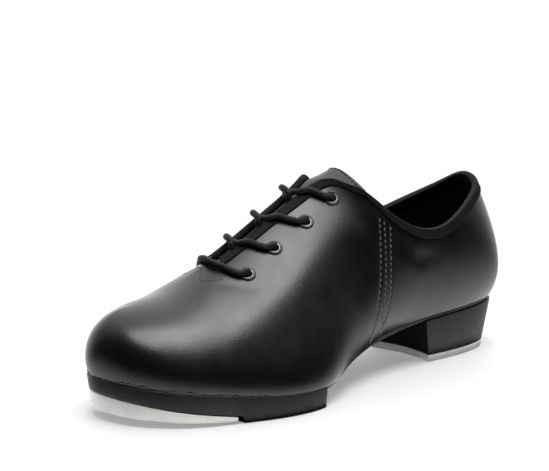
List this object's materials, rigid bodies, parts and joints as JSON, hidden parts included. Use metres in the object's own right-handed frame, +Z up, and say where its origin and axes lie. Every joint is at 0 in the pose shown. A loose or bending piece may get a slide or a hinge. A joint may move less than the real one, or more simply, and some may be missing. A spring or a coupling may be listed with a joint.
{
  "type": "clogging shoe",
  "caption": "Lace-up clogging shoe for the left foot: hollow leather upper, bound collar, laced throat with tongue, sole with raised heel, and metal taps under toe and heel.",
  "frame": {"origin": "on the floor under the middle of the shoe's box", "axes": "+X from heel to toe, +Y to the outer side of the foot, +Z up"},
  "size_m": [0.2964, 0.107, 0.1229],
  "materials": {
    "upper_leather": "smooth black, semi-gloss, fine grain",
    "binding_tape": "matte black ribbed tape",
    "tongue_leather": "dark grey, low sheen",
    "insole_cloth": "matte black cloth",
    "sole_rubber": "matte black",
    "tap_metal": "satin, lightly brushed",
    "eyelet_metal": "black enamel with a bright inner edge",
    "lace_cord": "round black braid"
  },
  "bodies": {
    "root": {"upper": "upper_leather", "collar_binding": "binding_tape", "tongue": "tongue_leather", "insole": "insole_cloth", "sole": "sole_rubber", "heel": "sole_rubber", "heel_tap": "tap_metal", "toe_tap": "tap_metal", "eyelet_outer_1": "eyelet_metal", "eyelet_outer_2": "eyelet_metal", "eyelet_outer_3": "eyelet_metal", "eyelet_outer_4": "eyelet_metal", "eyelet_inner_1": "eyelet_metal", "eyelet_inner_2": "eyelet_metal", "eyelet_inner_3": "eyelet_metal", "eyelet_inner_4": "eyelet_metal", "lace_bar": "lace_cord", "lace_cross_1": "lace_cord", "lace_cross_2": "lace_cord", "lace_cross_3": "lace_cord"}
  },
  "joints": []
}
